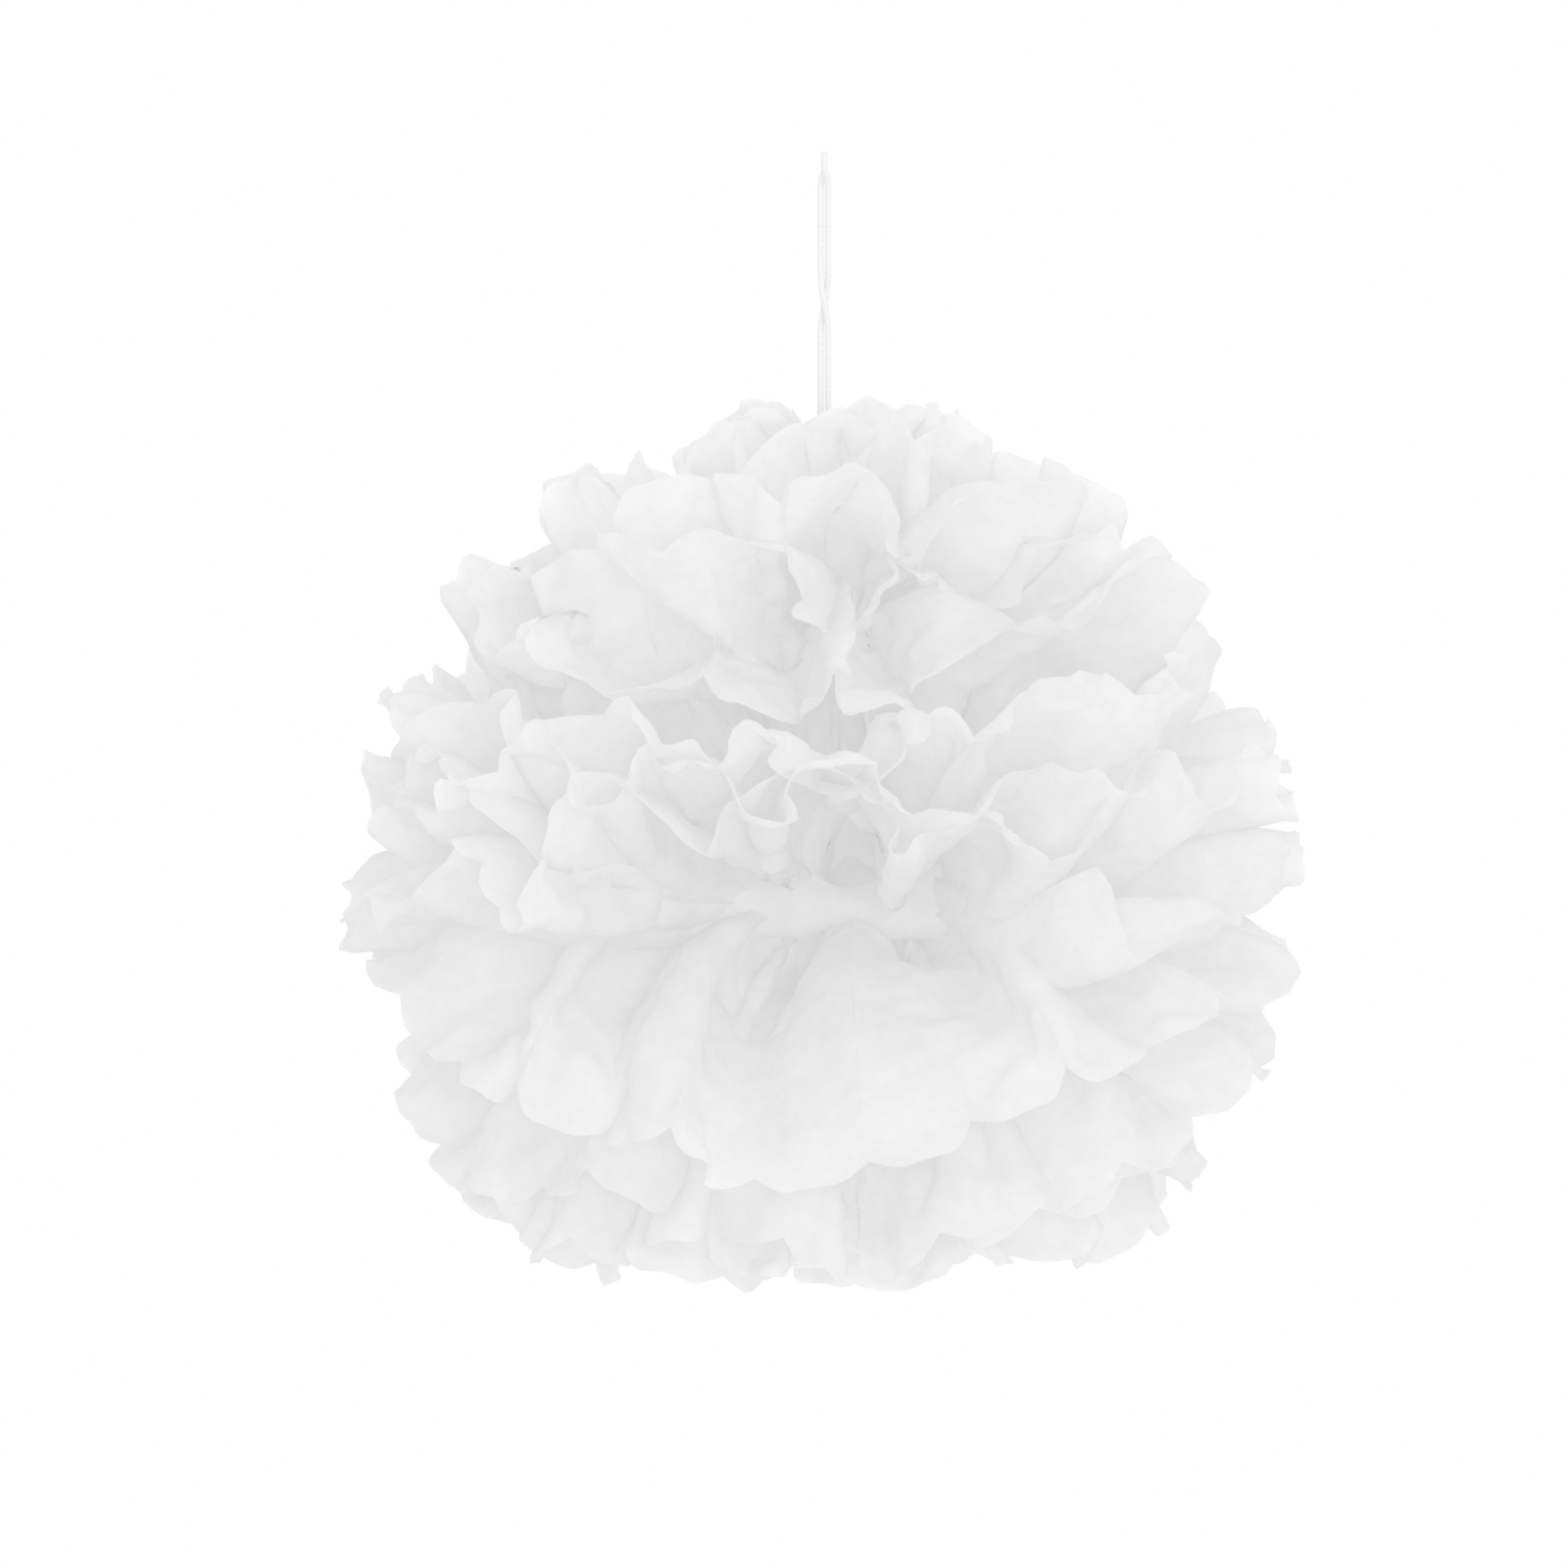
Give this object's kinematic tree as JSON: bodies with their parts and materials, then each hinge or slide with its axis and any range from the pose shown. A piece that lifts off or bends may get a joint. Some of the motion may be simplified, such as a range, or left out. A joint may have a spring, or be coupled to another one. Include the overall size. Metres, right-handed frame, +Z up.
{
  "type": "tissue paper pom-pom",
  "caption": "Hanging ball of fan-folded tissue sheets with rounded petals, tied at the middle and pulled apart, on a doubled cord with a loop.",
  "frame": {"origin": "inside of the cord's loop, where a hook bears", "axes": "+Z up along the cord, -Y towards the viewer, the sheets' fans open towards -X and +X"},
  "size_m": [0.243, 0.2414, 0.2761],
  "materials": {
    "tissue_paper": "matt white tissue, slightly translucent, with a cloudy fibre pattern",
    "cotton_cord": "matt white twisted cotton",
    "coated_wire": "thin white coated wire, satin"
  },
  "bodies": {
    "hook_end": {"cord_top": "cotton_cord"},
    "cord_link": {"cord_link_a": "cotton_cord", "cord_link_b": "cotton_cord"},
    "cord_drop": {"cord_drop_a": "cotton_cord", "cord_drop_b": "cotton_cord"},
    "ball": {"cord_knot": "cotton_cord", "tie_wire": "coated_wire", "tissue_sheet_01": "tissue_paper", "tissue_sheet_02": "tissue_paper", "tissue_sheet_03": "tissue_paper", "tissue_sheet_04": "tissue_paper", "tissue_sheet_05": "tissue_paper", "tissue_sheet_06": "tissue_paper", "tissue_sheet_07": "tissue_paper", "tissue_sheet_08": "tissue_paper", "tissue_sheet_09": "tissue_paper", "tissue_sheet_10": "tissue_paper", "tissue_sheet_11": "tissue_paper", "tissue_sheet_12": "tissue_paper"}
  },
  "joints": [
    {"name": "swing_front", "type": "hinge", "parent": "hook_end", "child": "cord_link", "pos_m": [0, 0, -0.012], "axis": [1, 0, 0], "range_deg": [-40, 40]},
    {"name": "swing_side", "type": "hinge", "parent": "cord_link", "child": "cord_drop", "pos_m": [0, 0, -0.022], "axis": [0, 1, 0], "range_deg": [-40, 40]},
    {"name": "ball_spin", "type": "hinge", "parent": "cord_drop", "child": "ball", "pos_m": [0, 0, -0.178], "axis": [0, 0, 1], "continuous": true}
  ]
}
